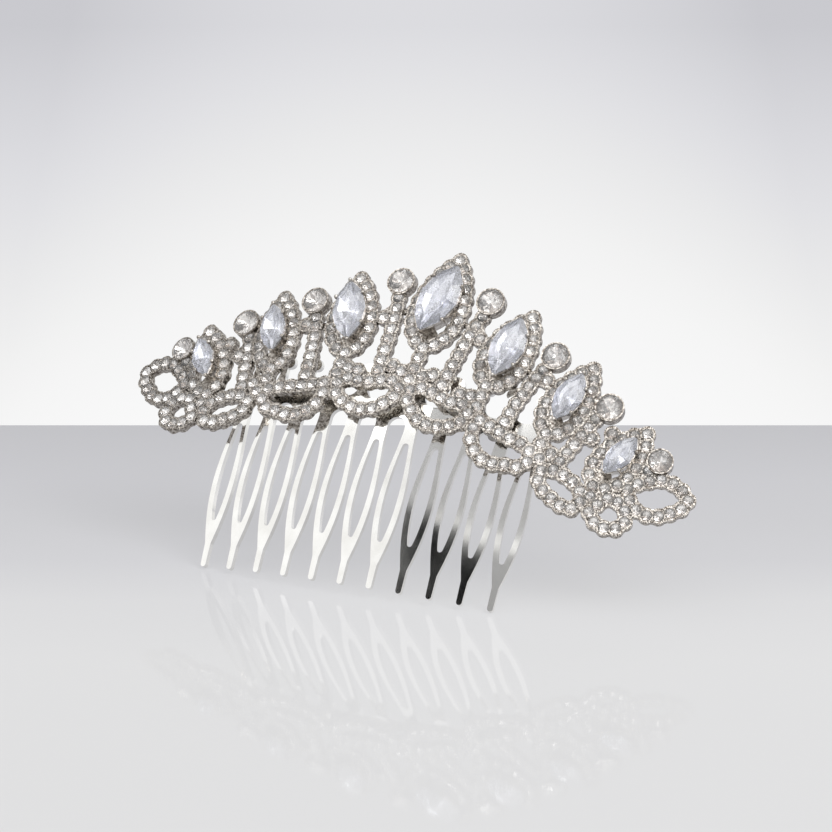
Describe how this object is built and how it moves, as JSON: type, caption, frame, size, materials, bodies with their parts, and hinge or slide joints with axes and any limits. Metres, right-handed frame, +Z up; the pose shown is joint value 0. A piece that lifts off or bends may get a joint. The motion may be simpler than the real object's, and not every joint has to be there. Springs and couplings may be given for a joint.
{
  "type": "rhinestone tiara hair comb",
  "caption": "Hair comb with a bowed openwork tiara of stone-set leaves, stems and swags soldered to a comb with looped teeth.",
  "frame": {"origin": "centre of the bounding box's bottom, on the surface that the tooth tips stand on", "axes": "+Z up, +X along the width towards the wearer's left, +Y towards the back, the way the comb leans"},
  "size_m": [0.1106, 0.0378, 0.0532],
  "materials": {
    "comb_steel": "polished, rhodium-look plated steel",
    "cast_metal": "rhodium-look plated casting with beaded edges",
    "setting_metal": "plated claw settings",
    "solder": "dull plated solder",
    "large_crystal": "faceted, faint lavender",
    "round_crystal": "faceted, clear",
    "small_crystal": "faceted, clear, foil-backed sparkle"
  },
  "bodies": {
    "root": {"comb_plate": "comb_steel", "end_crystals": "small_crystal", "end_leaf_left": "cast_metal", "end_leaf_right": "cast_metal", "end_loop_left": "cast_metal", "end_loop_right": "cast_metal", "leaf_crystals": "small_crystal", "leaf_frame_1": "cast_metal", "leaf_frame_2": "cast_metal", "leaf_frame_3": "cast_metal", "leaf_frame_4": "cast_metal", "leaf_frame_5": "cast_metal", "leaf_frame_6": "cast_metal", "leaf_frame_7": "cast_metal", "link_bars": "cast_metal", "marquise_setting_1": "setting_metal", "marquise_setting_2": "setting_metal", "marquise_setting_3": "setting_metal", "marquise_setting_4": "setting_metal", "marquise_setting_5": "setting_metal", "marquise_setting_6": "setting_metal", "marquise_setting_7": "setting_metal", "marquise_stone_1": "large_crystal", "marquise_stone_2": "large_crystal", "marquise_stone_3": "large_crystal", "marquise_stone_4": "large_crystal", "marquise_stone_5": "large_crystal", "marquise_stone_6": "large_crystal", "marquise_stone_7": "large_crystal", "round_stone_1": "round_crystal", "round_stone_2": "round_crystal", "round_stone_3": "round_crystal", "round_stone_4": "round_crystal", "round_stone_5": "round_crystal", "round_stone_6": "round_crystal", "round_stone_7": "round_crystal", "round_stone_8": "round_crystal", "solder_joints": "solder", "stem_1": "cast_metal", "stem_2": "cast_metal", "stem_3": "cast_metal", "stem_4": "cast_metal", "stem_5": "cast_metal", "stem_6": "cast_metal", "stem_7": "cast_metal", "stem_8": "cast_metal", "stem_crystals": "small_crystal", "swag_1": "cast_metal", "swag_2": "cast_metal", "swag_3": "cast_metal", "swag_4": "cast_metal", "swag_5": "cast_metal", "swag_6": "cast_metal", "swag_crystals": "small_crystal"}
  },
  "joints": []
}
